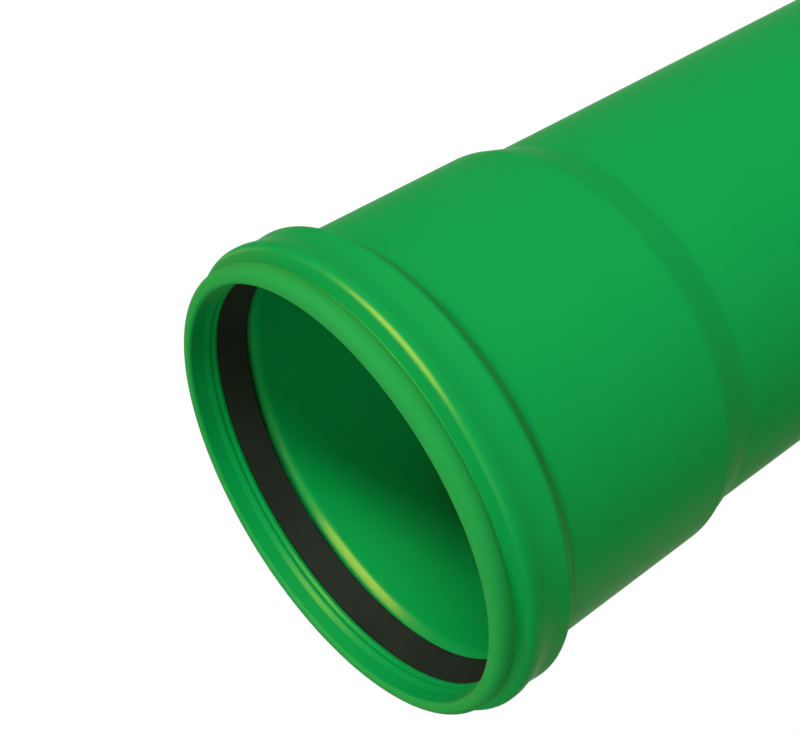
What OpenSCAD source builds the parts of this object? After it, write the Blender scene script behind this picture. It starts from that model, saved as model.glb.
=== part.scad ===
// Socketed plastic conduit: a round pipe with a socket formed on one end,
// and the rubber ring that sits in the groove of the socket.
// It stands on its plain end at Z = 0, with the mouth of the socket on top.

/* [Barrel] */
// Outer diameter of the pipe, which is also its nominal size
pipe_od = 110; // [75:1:160]
// Wall of the barrel
pipe_wall = 3.2; // [2.2:0.1:5]
// Length from the root of the socket to the plain end
laying_length = 1000; // [250:50:3000]
// Length of the bevel on the plain end
bevel_length = 6; // [2:0.5:12]
// Angle of that bevel to the axis
bevel_angle = 15; // [8:1:18]

/* [Socket] */
// Depth that the next pipe goes in, from the mouth to the root
socket_depth = 76.5; // [50:0.5:140]
// Play between the next pipe and the socket, on the radius
socket_play = 0.25; // [0.1:0.05:0.8]
// Wall of the socket, thinner than the barrel because it was stretched
socket_wall = 2.9; // [2:0.1:4.5]
// Length of the cone that leads from the socket down to the barrel
root_length = 11; // [6:1:25]
// How far the cone outside lies behind the cone inside
root_lag = 0.5; // [0:0.1:1.5]

/* [Lip] */
// Play of the lip round the next pipe, on the radius
lip_play = 0.6; // [0.3:0.1:1.5]
// How far the lead-in opens at the mouth, on the radius
lead_in = 0.4; // [0:0.1:1.5]
// Thickness of the lip at the mouth
lip_thickness = 5; // [3.5:0.1:7]
// Width of the flat part of the lip's end face
lip_flat = 1.5; // [1.2:0.1:2]
// How far the outer edge of the lip falls back from that flat
lip_slope = 0.4; // [0:0.1:1.5]
// Rounding of the outer edge of the lip
lip_rounding = 2.6; // [0.5:0.1:2.8]
// Distance from the mouth to the valley between the lip and the bead
valley_at = 6.7; // [5:0.1:9]
// How far before the valley the lead-in ends
lead_in_short = 1.7; // [1:0.1:3]
// Thickness left under that valley
valley_thickness = 3.4; // [2.5:0.1:5]

/* [Ring groove] */
// Distance from the valley to the front wall of the ring groove
groove_behind_valley = 2.2; // [1.8:0.1:5]
// Width of the ring groove at its bottom
groove_width = 8.3; // [7.5:0.1:14]
// Depth of the ring groove below the bore of the socket
groove_depth = 4.6; // [3.5:0.1:8]
// Run of the slope from the groove back down to the bore of the socket
shoulder_run = 2; // [1.8:0.1:6]

/* [Bead] */
// Wall over the groove at the front crest of the bead
crest_wall = 3; // [2:0.1:4.5]
// Run of the front flank, from the valley up to the front crest
front_flank = 1.4; // [1.2:0.1:2.5]
// Width of the front crest
crest_width = 1.6; // [1.6:0.1:3]
// How far the bead dips between its two crests
saddle_dip = 0.8; // [0:0.1:1.2]
// Where that dip lies, as a share of the width of the groove
saddle_place = 0.6; // [0.5:0.01:0.7]
// How much lower the rear crest is than the front one
rear_crest_drop = 0.3; // [0:0.1:0.6]
// Distance from the back of the groove to the rear crest
rear_crest_at = 2.4; // [1.5:0.1:4]
// Run of the rear flank, from the rear crest down to the socket
rear_flank = 3.6; // [3:0.1:7]

/* [Sealing ring] */
// Play between the ring and the groove
ring_play = 0.1; // [0.05:0.01:0.2]
// Thickness of the body of the ring at its back
ring_body = 2.5; // [1.5:0.1:3]
// How far the body of the ring stays short of the back of the groove
ring_short = 1.2; // [1:0.1:2.5]
// How far the nose of the ring stays outside the bore of the lip
ring_recess = 0.3; // [0:0.1:1]
// How far the lip of the ring stands in past the surface of the next pipe
ring_squeeze = 1.3; // [0.3:0.1:2]
// How far the lip of the ring reaches back past the body
ring_reach = 1; // [0:0.1:1.5]
// Thickness of the lip of the ring near its tip
ring_lip = 1.4; // [1:0.1:2]

/* [Smoothness] */
// Largest turn of one straight step in a rounded corner, in degrees
corner_step = 6; // [4:1:15]
// Sides of the turned surfaces on screen
$fn = 160; // [48:8:240]

/* [Hidden] */
pipe_r = pipe_od / 2;
barrel_bore_r = pipe_r - pipe_wall;
socket_bore_r = pipe_r + socket_play;
socket_r = socket_bore_r + socket_wall;
lip_bore_r = pipe_r + lip_play;
mouth_r = lip_bore_r + lead_in;
groove_at = valley_at + groove_behind_valley;
groove_end = groove_at + groove_width;
groove_r = socket_bore_r + groove_depth;
bead_r = groove_r + crest_wall;
front_crest_at = valley_at + front_flank;
overall_length = socket_depth + laying_length;

// Points of an arc of radius r that rounds the corner at b, between its
// neighbours a and c. With r = 0 the corner stays sharp.
function corner(a, b, c, r) =
    let (to_a = (a - b) / norm(a - b), to_c = (c - b) / norm(c - b))
    let (opening = acos(to_a * to_c), turn = 180 - opening)
    r == 0 || turn < 1 ? [b] :
    let (middle = (to_a + to_c) / norm(to_a + to_c))
    let (centre = b + middle * r / sin(opening / 2))
    let (first = b + to_a * r / tan(opening / 2) - centre)
    let (side = cross(b - a, c - b) > 0 ? 1 : -1)
    let (steps = ceil(turn / corner_step))
    [for (i = [0 : steps])
        let (angle = side * turn * i / steps)
        centre + [first[0] * cos(angle) - first[1] * sin(angle),
                  first[0] * sin(angle) + first[1] * cos(angle)]];

// A closed outline from corners given as [distance from the mouth, radius,
// rounding], turned into polygon points as [radius, height].
function outline(corners) =
    let (n = len(corners))
    [for (i = [0 : n - 1])
        let (a = corners[(i + n - 1) % n], b = corners[i], c = corners[(i + 1) % n])
        for (p = corner([a[0], a[1]], [b[0], b[1]], [c[0], c[1]], b[2]))
            [p[1], overall_length - p[0]]];

// The outside, from the mouth to the plain end.
outer_corners = [
    [0, mouth_r + lip_flat, 2],
    [lip_slope, mouth_r + lip_thickness, lip_rounding],
    [valley_at, lip_bore_r + valley_thickness, 0.8],
    [front_crest_at, bead_r, 1.6],
    [front_crest_at + crest_width, bead_r, 2],
    [groove_at + groove_width * saddle_place, bead_r - saddle_dip, 12],
    [groove_end + rear_crest_at, bead_r - rear_crest_drop, 1.2],
    [groove_end + rear_crest_at + rear_flank, socket_r, 2.5],
    [socket_depth + root_lag, socket_r, 5],
    [socket_depth + root_lag + root_length, pipe_r, 8],
    [overall_length - bevel_length, pipe_r, 0],
    [overall_length, pipe_r - bevel_length * tan(bevel_angle), 0.2]
];

// The inside, from the plain end back to the mouth.
inner_corners = [
    [overall_length, barrel_bore_r, 0.2],
    [socket_depth + root_length, barrel_bore_r, 8],
    [socket_depth, socket_bore_r, 3],
    [groove_end + shoulder_run, socket_bore_r, 3.5],
    [groove_end, groove_r, 1.2],
    [groove_at, groove_r, 1],
    [groove_at, lip_bore_r, 2],
    [valley_at - lead_in_short, lip_bore_r, 0.6],
    [0, mouth_r, 0.8]
];

// The pipe with its lip, bead, socket and barrel, all one formed wall.
module conduit_pipe() {
    color([0.05, 0.6, 0.27])
        rotate_extrude() polygon(outline(concat(outer_corners, inner_corners)));
}

// The ring: a body that fills the groove, and a lip that leans inward and back.
module sealing_ring() {
    front = groove_at + ring_play;
    back = groove_end - ring_short;
    tip_at = back + ring_reach;
    body_r = groove_r - ring_play;
    body_bore_r = groove_r - ring_body;
    nose_r = lip_bore_r + ring_recess;
    tip_r = pipe_r - ring_squeeze;
    color([0.16, 0.16, 0.15])
        rotate_extrude() polygon(outline([
            [front, body_r, 1.1],
            [front, nose_r, 0.6],
            [tip_at, tip_r, 0.6],
            [tip_at, tip_r + ring_lip, 0.5],
            [(front + back) / 2, body_bore_r, 0.4],
            [back, body_bore_r, 0.5],
            [back, body_r, 1.1]
        ]));
}

conduit_pipe();
sealing_ring();
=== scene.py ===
# %% [markdown]
# # A socketed cable conduit
# The object is a plastic pipe whose one end is widened into a socket, and a
# rubber ring that sits in a groove inside that socket. Every surface is round
# about one upright line, so each piece can be made by drawing half of its cut
# edge and turning it about that line. This first cell loads the measured
# model that the looks are built on, and notes how big it is.

import bpy
import numpy as np
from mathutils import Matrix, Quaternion, Vector


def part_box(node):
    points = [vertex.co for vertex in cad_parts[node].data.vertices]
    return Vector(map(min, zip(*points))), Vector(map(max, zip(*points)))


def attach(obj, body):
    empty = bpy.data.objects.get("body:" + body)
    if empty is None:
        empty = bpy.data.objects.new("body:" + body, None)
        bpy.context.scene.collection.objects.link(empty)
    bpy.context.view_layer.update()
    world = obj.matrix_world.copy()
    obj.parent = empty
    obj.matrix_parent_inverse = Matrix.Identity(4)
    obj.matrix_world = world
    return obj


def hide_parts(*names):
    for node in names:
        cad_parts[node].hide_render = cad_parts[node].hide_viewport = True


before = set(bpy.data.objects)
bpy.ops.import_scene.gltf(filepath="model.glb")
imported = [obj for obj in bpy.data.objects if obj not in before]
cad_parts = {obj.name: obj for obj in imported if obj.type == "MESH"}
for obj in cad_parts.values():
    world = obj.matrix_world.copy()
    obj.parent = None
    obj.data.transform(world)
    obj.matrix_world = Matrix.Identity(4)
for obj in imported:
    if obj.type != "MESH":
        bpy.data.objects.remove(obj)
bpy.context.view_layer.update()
MM = 0.001
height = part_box("conduit_pipe")[1].z

# %% [markdown]
# # The camera
# A camera can be placed by hand, or worked out from what it has to see. Here
# it is worked out: it looks down at the mouth of the socket from a third of a
# metre away and is tipped far over, so the standing pipe runs off to the
# upper right as if it lay there.

# %% Place the camera
LENS, SENSOR = 64.17, 36      # millimetres
LOOK_DOWN = 28.667            # degrees below the horizon
TIP_OVER = 120.17             # degrees that the camera is turned about its own line of sight
MOUTH_IN_VIEW = Vector((-17.83, -32.19, -339.27)) * MM   # right, up and back of the camera

camera = bpy.data.objects.new("camera", bpy.data.cameras.new("camera"))
bpy.context.scene.collection.objects.link(camera)
bpy.context.scene.camera = camera
camera.data.lens, camera.data.sensor_width = LENS, SENSOR
camera.data.clip_start, camera.data.clip_end = 0.01, 100
level = Quaternion((1, 0, 0), np.radians(90 - LOOK_DOWN))
camera.rotation_mode = "QUATERNION"
camera.rotation_quaternion = level @ Quaternion((0, 0, 1), np.radians(-TIP_OVER))
mouth = Vector((0, 0, height))
camera.location = mouth - camera.rotation_quaternion @ MOUTH_IN_VIEW
print("camera stands at", [round(v, 4) for v in camera.location])

# %% [markdown]
# # Turning an outline
# A round piece could be made with the Screw modifier, but that leaves the
# shading of its smooth corners to a guess from the nearby faces. A gloss
# surface shows that guess. So the outline is worked out with its exact facing
# direction at every point, and both are carried round in one step.

# %% Round the corners of an outline
ARC_POINTS = 10               # points along each rounded corner


def rounded(corners):
    """Each corner is (distance below the mouth, radius, rounding) in mm, in
    order round a closed outline. The straight sides next to a corner are
    shortened by rounding * tan(turn / 2), and a circular arc joins them: its
    direction turns evenly from one side to the next. Returns the points and
    their outward directions, both as (distance, radius)."""
    b, r = corners[:, :2], corners[:, 2:]
    ahead = np.roll(b, -1, 0) - b
    ahead /= np.linalg.norm(ahead, axis=1, keepdims=True)
    came = np.roll(ahead, 1, 0)
    turn = np.arctan2(came[:, 0] * ahead[:, 1] - came[:, 1] * ahead[:, 0],
                      (came * ahead).sum(1))[:, None]
    start = b - came * r * np.tan(np.abs(turn) / 2)
    left = np.stack([-came[:, 1], came[:, 0]], 1) * np.sign(turn)
    centre = start + left * r
    swept = turn * np.linspace(0, 1, ARC_POINTS)
    cos, sin = np.cos(swept), np.sin(swept)
    arm = (start - centre)[:, None]
    point = centre[:, None] + np.stack([arm[..., 0] * cos - arm[..., 1] * sin,
                                        arm[..., 0] * sin + arm[..., 1] * cos], -1)
    along = np.stack([came[:, :1] * cos - came[:, 1:] * sin,
                      came[:, :1] * sin + came[:, 1:] * cos], -1)
    outward = np.stack([along[..., 1], -along[..., 0]], -1)
    point, outward = point.reshape(-1, 2), outward.reshape(-1, 2)
    ahead_x, ahead_y = np.roll(point, -1, 0).T
    clockwise = (point[:, 0] * ahead_y - point[:, 1] * ahead_x).sum() < 0
    return point, -outward if clockwise else outward


# %% [markdown]
# # Carrying it round
# The real pipe and ring are as round as their die and mould, so one rounded
# outline and a number of steps say all of a piece. Copies of the outline
# could be placed in a loop, but whole arrays make all the points at once, and
# the numbers of each point and its neighbours make all the faces. The faces
# are turned over if they don't look the way that the outline does.

# %% Turn the outline about the upright line
def turned(name, corners, around):
    """Point (distance s, radius r) goes to (r cos a, r sin a, height - s) for
    each of the angles a, so the grid closes on itself both ways. The printed
    volume adds up, over all triangles, a sixth of the box product of their
    corners."""
    point, outward = rounded(np.array(corners, float))
    n = len(point)
    a = np.linspace(0, 2 * np.pi, around, endpoint=False)[:, None]

    def carry(radius, upright):
        """One radius and one height for each outline point, at every angle."""
        upright = np.broadcast_to(upright, (around, n))
        return np.stack([radius * np.cos(a), radius * np.sin(a), upright], -1).reshape(-1, 3)

    place = carry(point[:, 1] * MM, height - point[:, 0] * MM)
    facing = carry(outward[:, 1], -outward[:, 0])
    i, j = np.meshgrid(np.arange(around), np.arange(n), indexing="ij")
    i2, j2 = (i + 1) % around, (j + 1) % n
    face = np.stack([i * n + j, i * n + j2, i2 * n + j2, i2 * n + j], -1).reshape(-1, 4)
    side_a = place[face[:, 1]] - place[face[:, 0]]
    side_b = place[face[:, 3]] - place[face[:, 0]]
    if (np.cross(side_a, side_b) * facing[face[:, 0]]).sum() < 0:
        face = face[:, ::-1]
    mesh = bpy.data.meshes.new(name)
    mesh.from_pydata(place, [], face)
    mesh.polygons.foreach_set("use_smooth", np.ones(len(face), bool))
    mesh.normals_split_custom_set_from_vertices(facing)
    piece = bpy.data.objects.new(name, mesh)
    bpy.context.scene.collection.objects.link(piece)
    corner = place[face]
    volume = (np.cross(corner[:, 0], corner[:, 1]) * corner[:, 2]).sum() / 6
    volume += (np.cross(corner[:, 0], corner[:, 2]) * corner[:, 3]).sum() / 6
    print(name, "faces", len(face), "volume in cm3", round(volume * 1e6, 1))
    return piece


# %% [markdown]
# # The outside of the pipe
# The real pipe is pushed out of a round die and cut to length, and its end is
# then heated and pressed over a former. That press makes the socket, the
# groove for the ring, the raised bead over the groove and the thick lip, all
# in one wall. So one closed outline says all of it. This cell draws its
# outside half, from the mouth down to the bevel on the plain end. Distances
# are in millimetres below the mouth.

# %% Draw the outside of the wall
PIPE_R, WALL, SOCKET_WALL, BEAD_WALL = 55.0, 3.2, 2.9, 3.0
LENGTH = height / MM
DEEP, CONE = 76.5, 11.0            # the socket's depth, and the length of its cone
CONE_LAG = 0.5                     # how much further down the cone starts outside
SOCKET_BORE = PIPE_R + 0.25
SOCKET_OUT = SOCKET_BORE + SOCKET_WALL
LIP_BORE = PIPE_R + 0.6
MOUTH_R = LIP_BORE + 0.4
GROOVE, GROOVE_END, GROOVE_DEEP = 8.9, 17.2, 4.6
GROOVE_R = SOCKET_BORE + GROOVE_DEEP
BEAD_R = GROOVE_R + BEAD_WALL
BEVEL, BEVEL_ANGLE = 6.0, 15       # millimetres up the pipe, and degrees

outside = [
    (0, MOUTH_R + 1.5, 2),                                     # end face of the lip
    (0.4, MOUTH_R + 4.6, 2.6),                                 # outer edge of the lip
    (4.0, MOUTH_R + 4.0, 2),                                   # back of the lip
    (5.5, MOUTH_R + 3.2, 0.12),                                # valley between lip and bead
    (7.1, BEAD_R, 2.1),                                        # front crest of the bead
    (9.7, BEAD_R, 2),                                          # where that crest ends
    (GROOVE + (GROOVE_END - GROOVE) * 0.6, BEAD_R - 0.8, 12),  # the bead's shallow waist
    (GROOVE_END + 2.2, BEAD_R - 0.3, 2),                       # rear crest of the bead
    (GROOVE_END + 6.4, SOCKET_OUT, 4),                         # foot of the bead
    (DEEP + CONE_LAG, SOCKET_OUT, 5),                          # top of the cone
    (DEEP + CONE_LAG + CONE, PIPE_R, 8),                       # foot of the cone
    (LENGTH - BEVEL, PIPE_R, 0.6),                             # top of the bevel
    (LENGTH, PIPE_R - BEVEL * np.tan(np.radians(BEVEL_ANGLE)), 0.2),
]
print("outside corners:", len(outside), "widest radius in mm:", BEAD_R)

# %% [markdown]
# # The inside of the pipe
# The inside goes back up from the plain end: the bore, the cone at the root
# of the socket, the socket, the groove and the lip. The lip is not a plain
# cylinder. It narrows in a soft step, and a shallow line runs round it before
# the ring. Each of them catches the light as a thin bright line. A bump map
# could hint at them, but it leaves no true edge where the lip is seen along
# its surface, so they are drawn in the outline like everything else.

# %% Draw the inside and turn the whole wall
AROUND = 360                                     # steps of one turn
inside = [
    (LENGTH, PIPE_R - WALL, 0.2),
    (DEEP + CONE, PIPE_R - WALL, 8),
    (DEEP, SOCKET_BORE, 3),
    (GROOVE_END + 3.9, SOCKET_BORE, 3.5),        # foot of the shoulder behind the ring
    (GROOVE_END + 1.2, SOCKET_BORE + 1.85, 2.5),
    (GROOVE_END, GROOVE_R, 1.2),
    (GROOVE, GROOVE_R, 1),
    (GROOVE, LIP_BORE, 0.9),
    (7.9, LIP_BORE, 1.5),                        # the shallow line starts
    (6.85, LIP_BORE + 0.25, 0.5),
    (6.15, LIP_BORE + 0.05, 0.5),
    (5.8, LIP_BORE + 0.09, 1.2),                 # the soft step starts
    (4.4, MOUTH_R + 0.03, 1.0),
    (0, MOUTH_R + 0.1, 1.0),
]
pipe = turned("conduit_pipe_turned", outside + inside, AROUND)
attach(pipe, "root")
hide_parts("conduit_pipe")

# %% [markdown]
# # The sealing ring
# The ring is moulded rubber: a body that fills the groove, and a thin lip
# that leans inward and back. The next pipe bends that lip as it goes in, and
# that is what keeps water out. It is turned like the pipe, as its own piece.

# %% Draw the ring and turn it
RING_FRONT = GROOVE + 0.1
RING_BACK = GROOVE_END - 1.2
RING_OUT = GROOVE_R - 0.1
RING_BODY = GROOVE_R - 2.5
TIP_R, TIP_AT, TIP_THICK = PIPE_R - 1.3, RING_BACK + 1.0, 1.4

ring = turned("sealing_ring_turned", [
    (RING_FRONT, RING_OUT, 1.1),
    (RING_FRONT, LIP_BORE + 0.2, 0.5),
    (TIP_AT, TIP_R, 0.6),
    (TIP_AT, TIP_R + TIP_THICK, 0.5),
    ((RING_FRONT + RING_BACK) / 2, RING_BODY, 0.4),
    (RING_BACK, RING_BODY, 0.5),
    (RING_BACK, RING_OUT, 1.1),
], AROUND)
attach(ring, "root")
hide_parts("sealing_ring")

# %% [markdown]
# # Helpers for materials
# A material is a net of nodes, and most lines of such code only add a node
# and fill its sockets. One helper does that: a socket handed to it becomes a
# link, and anything else becomes the socket's own value. The second one adds
# noise whose middle range is stretched to go from 0 to 1, so that it can be
# used as a mask.

# %% Helpers that add a node and a noise mask
def add(net, kind, inputs=None, **settings):
    """A new node in the net. Inputs go by the name or number of the socket."""
    node = net.nodes.new(kind)
    for name, value in settings.items():
        setattr(node, name, value)
    for name, value in (inputs or {}).items():
        if isinstance(value, bpy.types.NodeSocket):
            net.links.new(value, node.inputs[name])
        else:
            node.inputs[name].default_value = value
    return node


def noise_mask(net, place, size, detail):
    """Noise at place / size, where size is in metres and place on the piece."""
    per_size = add(net, "ShaderNodeMath", {0: 1.0, 1: size}, operation="DIVIDE").outputs[0]
    noise = add(net, "ShaderNodeTexNoise", {"Vector": place, "Scale": per_size, "Detail": detail})
    return add(net, "ShaderNodeMapRange", {
        "Value": noise.outputs[0], "From Min": 0.3, "From Max": 0.7}).outputs[0]


# %% [markdown]
# # Marks that both pieces carry
# Plastic and rubber both have soft patches that are a little duller than the
# rest. Both also carry fine rings round the axis: a saw and a bevel cutter
# leave them on the pipe's cut end, and a turned mould leaves them on the
# rubber. Image textures could show such marks, but noise that is read from
# the place on the piece needs no file and has no seam. Each kind is a node
# group, built once and placed in each material with its own size. The rings
# come from noise that only knows the height and the distance from the axis.

# %% Groups for soft patches and turned rings
def open_group(name, size):
    """A node group that takes a place and a size, and puts out a mask."""
    group = bpy.data.node_groups.new(name, "ShaderNodeTree")
    group.interface.new_socket("Place", in_out="INPUT", socket_type="NodeSocketVector")
    asked = group.interface.new_socket("Size", in_out="INPUT", socket_type="NodeSocketFloat")
    asked.default_value = size
    group.interface.new_socket("Mask", in_out="OUTPUT", socket_type="NodeSocketFloat")
    taken = add(group, "NodeGroupInput")
    return group, taken.outputs["Place"], taken.outputs["Size"]


def off_axis(net, place):
    """The distance from the upright line: the length of (x, y, 0)."""
    flat = add(net, "ShaderNodeVectorMath", {0: place, 1: (1, 1, 0)}, operation="MULTIPLY")
    length = add(net, "ShaderNodeVectorMath", {0: flat.outputs[0]}, operation="LENGTH")
    return length.outputs["Value"]


patches, place, size = open_group("soft_patches", 50 * MM)
add(patches, "NodeGroupOutput", {"Mask": noise_mask(patches, place, size, detail=2)})

rings, place, size = open_group("turned_rings", 1 * MM)
upright = add(rings, "ShaderNodeSeparateXYZ", {0: place}).outputs[2]
section = add(rings, "ShaderNodeCombineXYZ", {0: off_axis(rings, place), 2: upright}).outputs[0]
add(rings, "NodeGroupOutput", {"Mask": noise_mask(rings, section, size, detail=2)})
for group in (patches, rings):
    print("group", group.name, "has", len(group.nodes), "nodes")

# %% [markdown]
# # The green plastic: where it was cut
# The colour goes right through this plastic, so no edge shows another colour.
# What changes is the finish. The skin that the die leaves is smooth, and the
# sawn end with its bevel is paler, duller and ringed. The cut faces could be
# given a material of their own, but a mask keeps the pipe in one piece and
# one finish. It is 1 below the top of the bevel, except on the bore.

# %% Find the cut end
green = bpy.data.materials.new("satin_green")
green.use_nodes = True
net = green.node_tree
on_piece = add(net, "ShaderNodeTexCoord").outputs["Object"]
above_floor = add(net, "ShaderNodeSeparateXYZ", {0: on_piece}).outputs[2]
below_bevel = add(net, "ShaderNodeMapRange", {
    "Value": above_floor, "From Min": (BEVEL + 0.1) * MM, "From Max": (BEVEL - 0.1) * MM})
off_bore = add(net, "ShaderNodeMapRange", {
    "Value": off_axis(net, on_piece), "From Min": (PIPE_R - WALL + 0.05) * MM,
    "From Max": (PIPE_R - WALL + 0.15) * MM})
cut = add(net, "ShaderNodeMath", {0: below_bevel.outputs[0], 1: off_bore.outputs[0]},
          operation="MULTIPLY").outputs[0]
print("cut finish reaches", BEVEL, "mm up, down to radius", round(PIPE_R - WALL, 2), "mm")

# %% [markdown]
# # The green plastic: its colour
# The die draws streaks along the pipe, too faint to see as lines but enough
# to break up a highlight. They are noise stretched far along the height.
# Under them lie the soft patches, which count for more. Where the pipe was
# cut, its own paler green shows.

# %% Mix the colour of the plastic
SKIN_DARK, SKIN_LIGHT = (0.001, 0.344, 0.066, 1), (0.003, 0.354, 0.068, 1)
CUT_GREEN = (0.02, 0.40, 0.11, 1)
PATCH_SIZE, STREAK_WIDTH = 40 * MM, 2 * MM
STREAK_SHARE, STREAK_SQUEEZE = 0.2, (1, 1, 0.004)

cloudy = add(net, "ShaderNodeGroup", {"Place": on_piece, "Size": PATCH_SIZE}, node_tree=patches)
along = add(net, "ShaderNodeVectorMath", {0: on_piece, 1: STREAK_SQUEEZE}, operation="MULTIPLY")
drawn = noise_mask(net, along.outputs[0], STREAK_WIDTH, detail=3)
mottle = add(net, "ShaderNodeMix", {0: STREAK_SHARE, 2: cloudy.outputs[0], 3: drawn}).outputs[0]
skin = add(net, "ShaderNodeMix", {0: mottle, 6: SKIN_DARK, 7: SKIN_LIGHT}, data_type="RGBA")
colour = add(net, "ShaderNodeMix", {0: cut, 6: skin.outputs[2], 7: CUT_GREEN}, data_type="RGBA")
print("streaks are drawn out", round(1 / STREAK_SQUEEZE[2]), "times along the pipe")

# %% [markdown]
# # The green plastic: its gloss
# The skin is satin. The pressed lip has lost its gloss where the former held
# it. That could be a second finish on a list of faces, but a mask on depth
# and radius fades in as the real change does: it reaches down to the valley
# outside, and only round the edge of the mouth inside.

# %% Mask the pressed lip and mix the gloss
SATIN_LOW, SATIN_HIGH, LIP_DULL, CUT_DULL = 0.29, 0.33, 0.95, 0.55
BORE_SIDE, OUTER_SIDE = 55.9 * MM, 56.7 * MM              # radius
PRESSED_IN_BORE, PRESSED_OUTSIDE = -1 * MM, 5.3 * MM      # depth: nothing in the bore
FADE = 0.4 * MM                                           # to each side of that depth

satin = add(net, "ShaderNodeMapRange", {"Value": mottle, "To Min": SATIN_LOW, "To Max": SATIN_HIGH})
pressed_to = add(net, "ShaderNodeMapRange", {
    "Value": off_axis(net, on_piece), "From Min": BORE_SIDE, "From Max": OUTER_SIDE,
    "To Min": PRESSED_IN_BORE, "To Max": PRESSED_OUTSIDE})
below_mouth = add(net, "ShaderNodeMath", {0: height, 1: above_floor}, operation="SUBTRACT")
past_lip = add(net, "ShaderNodeMath", {0: below_mouth.outputs[0], 1: pressed_to.outputs[0]},
               operation="SUBTRACT")
pressed = add(net, "ShaderNodeMapRange", {
    "Value": past_lip.outputs[0], "From Min": FADE, "From Max": -FADE})
dull = add(net, "ShaderNodeMix", {0: pressed.outputs[0], 2: satin.outputs[0], 3: LIP_DULL})
dull = add(net, "ShaderNodeMix", {0: cut, 2: dull.outputs[0], 3: CUT_DULL})
print("roughness: skin", SATIN_LOW, "to", SATIN_HIGH, "lip", LIP_DULL, "cut", CUT_DULL)

# %% [markdown]
# # Filling a shader
# Plastic and rubber both end in a Principled shader. What changes over the
# surface is linked to it, and what is the same all over is set on its own
# socket. Fine relief could be cut into the mesh, but it is far finer than the
# faces, so a bump does it.

# %% A helper that fills a shader
def fill_shader(material, colour, roughness, relief, deep, same_all_over):
    """The relief is a mask, and where it is 1 the surface is deep metres
    higher than where it is 0."""
    net = material.node_tree
    bump = add(net, "ShaderNodeBump", {"Height": relief, "Distance": deep})
    shader = net.nodes["Principled BSDF"]
    changing = {"Base Color": colour, "Roughness": roughness, "Normal": bump.outputs[0]}
    for name, socket in changing.items():
        net.links.new(socket, shader.inputs[name])
    for name, value in same_all_over.items():
        shader.inputs[name].default_value = value
    print(material.name, "has", len(net.nodes), "nodes")


# %% [markdown]
# # The green plastic: its relief and its shader
# Saw rings are deep enough to feel, and the drawn streaks are not. A mirror
# image in this plastic is yellow-green, and the edges seen along the surface
# hardly brighten. Specular IOR Level sets how much those edges mirror, and
# Specular Tint multiplies only what is mirrored head on, so a low level under
# a tint well above 1 gives such a satin gloss. A little olive sheen stands
# for the bloom that shows when the plastic is seen along its surface.

# %% Mix the relief and finish the plastic
DRAWN_DEEP, SAWN_DEEP, SAW_PITCH = 0.001 * MM, 0.02 * MM, 0.4 * MM
YELLOW_GREEN_GLOSS = {"Specular IOR Level": 0.001, "Specular Tint": (100, 70, 2, 1)}
OLIVE_BLOOM = {"Sheen Weight": 0.08, "Sheen Roughness": 0.25, "Sheen Tint": (1, 0.5, 0.05, 1)}

sawn = add(net, "ShaderNodeGroup", {"Place": on_piece, "Size": SAW_PITCH}, node_tree=rings)
relief = add(net, "ShaderNodeMath", {0: drawn, 1: DRAWN_DEEP / SAWN_DEEP}, operation="MULTIPLY")
relief = add(net, "ShaderNodeMix", {0: cut, 2: relief.outputs[0], 3: sawn.outputs[0]})
fill_shader(green, colour.outputs[2], dull.outputs[0], relief.outputs[0], SAWN_DEEP,
            YELLOW_GREEN_GLOSS | OLIVE_BLOOM)
pipe.data.materials.append(green)

# %% [markdown]
# # The rubber
# Rubber of this kind is close to black and matt, with a grey bloom in soft
# patches, fine grain, and the rings of the mould. It mirrors very little, so
# it is mostly roughness and relief that tell it from black plastic.

# %% Mix the rubber
RUBBER_BLACK, RUBBER_BLOOM = (0.017, 0.0215, 0.014, 1), (0.022, 0.0275, 0.0185, 1)
MATT_LOW, MATT_HIGH = 0.6, 0.8
BLOOM_SIZE, MOULD_PITCH, GRAIN_SIZE = 12 * MM, 0.8 * MM, 0.3 * MM
GRAIN_SHARE, GRAIN_DEEP = 0.4, 0.01 * MM

rubber = bpy.data.materials.new("matt_rubber")
rubber.use_nodes = True
net = rubber.node_tree
on_piece = add(net, "ShaderNodeTexCoord").outputs["Object"]
bloom = add(net, "ShaderNodeGroup", {"Place": on_piece, "Size": BLOOM_SIZE},
            node_tree=patches).outputs[0]
moulded = add(net, "ShaderNodeGroup", {"Place": on_piece, "Size": MOULD_PITCH}, node_tree=rings)
grain = noise_mask(net, on_piece, GRAIN_SIZE, detail=2)
colour = add(net, "ShaderNodeMix", {0: bloom, 6: RUBBER_BLACK, 7: RUBBER_BLOOM}, data_type="RGBA")
matt = add(net, "ShaderNodeMapRange", {"Value": bloom, "To Min": MATT_LOW, "To Max": MATT_HIGH})
relief = add(net, "ShaderNodeMix", {0: GRAIN_SHARE, 2: moulded.outputs[0], 3: grain})
fill_shader(rubber, colour.outputs[2], matt.outputs[0], relief.outputs[0], GRAIN_DEEP,
            {"Specular IOR Level": 0.005})
ring.data.materials.append(rubber)

# %% [markdown]
# # Helpers for the studio
# The floor and the background have to look white and yet light the pipe no
# more than pale paint would. Light Path tells a ray that looks from one that
# gathers light, so their strength can go by it. The floor and a card on it
# are both flat sheets, and one helper makes them.

# %% Helpers that tell rays apart and make a sheet
def looked_at(net):
    """1 for a ray that looks, and 0 for a ray that gathers light: the largest
    of three answers that Light Path gives."""
    path = add(net, "ShaderNodeLightPath")
    seen = path.outputs["Is Camera Ray"]
    for way in ("Is Glossy Ray", "Is Transmission Ray"):
        seen = add(net, "ShaderNodeMath", {0: seen, 1: path.outputs[way]},
                   operation="MAXIMUM").outputs[0]
    return seen


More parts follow.
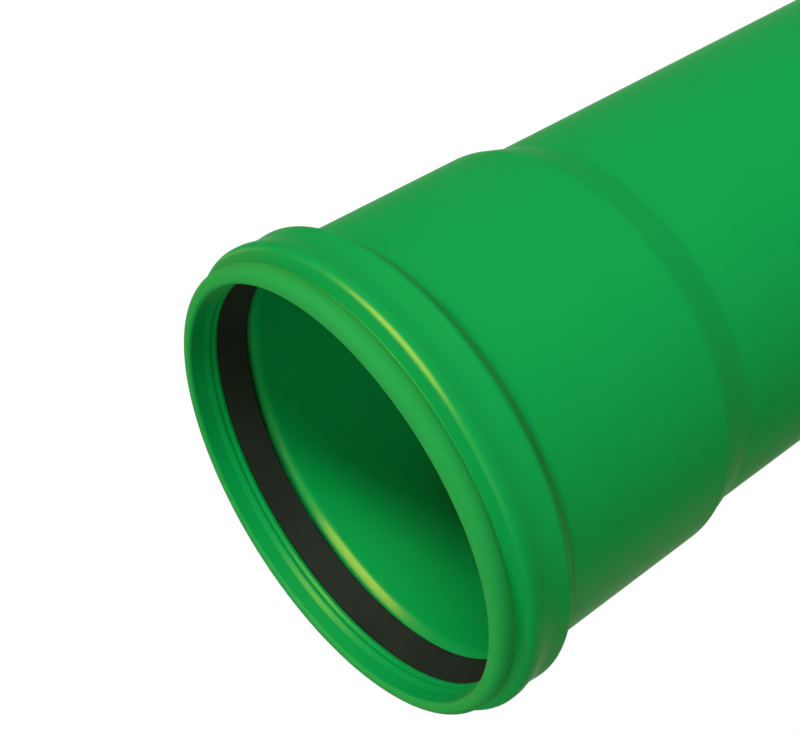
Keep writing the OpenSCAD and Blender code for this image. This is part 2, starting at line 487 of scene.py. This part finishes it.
def flat_sheet(name, coat_name, low, high, above):
    """A rectangle between two (x, y) corners in metres, at one height. Its
    material has an output and no shader yet."""
    mesh = bpy.data.meshes.new(name)
    (x0, y0), (x1, y1) = low, high
    mesh.from_pydata([(x0, y0, above), (x1, y0, above), (x1, y1, above), (x0, y1, above)],
                     [], [(0, 1, 2, 3)])
    sheet = bpy.data.objects.new(name, mesh)
    bpy.context.scene.collection.objects.link(sheet)
    coat = bpy.data.materials.new(coat_name)
    coat.use_nodes = True
    coat.node_tree.nodes.remove(coat.node_tree.nodes["Principled BSDF"])
    mesh.materials.append(coat)
    print(name, "measures", round(x1 - x0, 2), "by", round(y1 - y0, 2), "m")
    return sheet


# %% [markdown]
# # The floor
# The pipe stands on a plain pale floor with nothing round it. A white floor
# could be had from strong lamps, but those would wash out the green. Instead
# the floor glows a little, only for rays that look at it straight, in gloss
# or through glass, so it looks white, keeps the shadow of the pipe, and
# throws no more light than pale paint does.

# %% Lay the floor
FLOOR_REACH, FLOOR_GREY, FLOOR_GLOW = 15, 0.35, 0.74
floor = flat_sheet("floor", "pale_floor",
                   (-FLOOR_REACH, -FLOOR_REACH), (FLOOR_REACH, FLOOR_REACH), above=0)
net = floor.data.materials[0].node_tree
glow = add(net, "ShaderNodeMath", {0: looked_at(net), 1: FLOOR_GLOW}, operation="MULTIPLY")
lit = add(net, "ShaderNodeBsdfDiffuse", {"Color": (FLOOR_GREY, FLOOR_GREY, FLOOR_GREY, 1)})
white = add(net, "ShaderNodeEmission", {"Strength": glow.outputs[0]})
whole = add(net, "ShaderNodeAddShader", {0: lit.outputs[0], 1: white.outputs[0]})
net.links.new(whole.outputs[0], net.nodes["Material Output"].inputs["Surface"])

# %% [markdown]
# # The background
# A backdrop could be a wall behind the pipe, but from another side that wall
# would be in the way. The world itself does it: white where it is looked at,
# and a weak, even light from everywhere for everything else.

# %% Make the background
ROOM_LIGHT = 0.12
world = bpy.data.worlds.new("room")
bpy.context.scene.world = world
world.use_nodes = True
net = world.node_tree
level = add(net, "ShaderNodeMath", {0: looked_at(net), 1: 1 - ROOM_LIGHT, 2: ROOM_LIGHT},
            operation="MULTIPLY_ADD")
net.nodes["Background"].inputs["Color"].default_value = (1, 1, 1, 1)
net.links.new(level.outputs[0], net.nodes["Background"].inputs["Strength"])
print("room light:", ROOM_LIGHT)

# %% [markdown]
# # The lamps
# Two soft lamps low on the camera's right light the wall of the pipe and
# reach into its mouth, and two weaker ones open the shadows from the left and
# from behind. Area lamps would do, but their strength falls off along the
# pipe. A sun lamp with a wide angle is as soft and is even from end to end.

# %% Place the lamps
def soft_lamp(name, azimuth, elevation, strength, spread):
    """A far, round lamp. Azimuth is counted from +X towards +Y. A strength of
    1 lights a surface that squarely faces it so that it shows its own colour."""
    lamp = bpy.data.objects.new(name, bpy.data.lights.new(name, "SUN"))
    bpy.context.scene.collection.objects.link(lamp)
    lamp.data.energy = strength * np.pi
    lamp.data.angle = np.radians(spread)
    a, e = np.radians(azimuth), np.radians(elevation)
    towards = Vector((np.cos(a) * np.cos(e), np.sin(a) * np.cos(e), np.sin(e)))
    lamp.rotation_mode = "QUATERNION"
    lamp.rotation_quaternion = towards.to_track_quat("Z", "Y")
    print(name, "stands towards", [round(v, 2) for v in towards])
    return lamp


soft_lamp("low_key", azimuth=-62, elevation=16, strength=0.36, spread=12)
soft_lamp("high_key", azimuth=-36, elevation=24, strength=0.455, spread=12)
soft_lamp("side_fill", azimuth=-120, elevation=45, strength=0.27, spread=30)
soft_lamp("back_fill", azimuth=110, elevation=35, strength=0.40, spread=30)

# %% [markdown]
# # Panels for the gloss alone
# In a studio a large bright panel stands beside the lamps to draw the long
# highlights on round things, and a small one on the other side picks out an
# edge. Their light on the colour is already in the lamps above, so these two
# are told to show in gloss only.

# %% Place the highlight panels
for panel in (soft_lamp("main_panel", azimuth=-43, elevation=34, strength=8.5, spread=55),
              soft_lamp("side_panel", azimuth=53, elevation=12, strength=0.45, spread=22)):
    panel.visible_diffuse = False

# %% [markdown]
# # A card for the shaded side
# Seen from above, an upright wall mirrors what lies low, where no lamp can
# be. A bright card on the floor can lie there. This one is far to the left
# and behind, gives the shaded side its olive tone, and shows in gloss only.

# %% Lay the card
CARD_GLOW = 2.5
card = flat_sheet("reflector_card", "bright_card", (-2.6, 0.5), (-1.0, 1.6), above=2 * MM)
for kind in ("camera", "diffuse", "transmission", "volume_scatter", "shadow"):
    setattr(card, "visible_" + kind, False)
net = card.data.materials[0].node_tree
white = add(net, "ShaderNodeEmission", {"Strength": CARD_GLOW})
net.links.new(white.outputs[0], net.nodes["Material Output"].inputs["Surface"])

# %% [markdown]
# # Finish
# The last cell keeps colours as they are written.

# %% Keep colours as written
bpy.context.scene.view_settings.view_transform = "Standard"
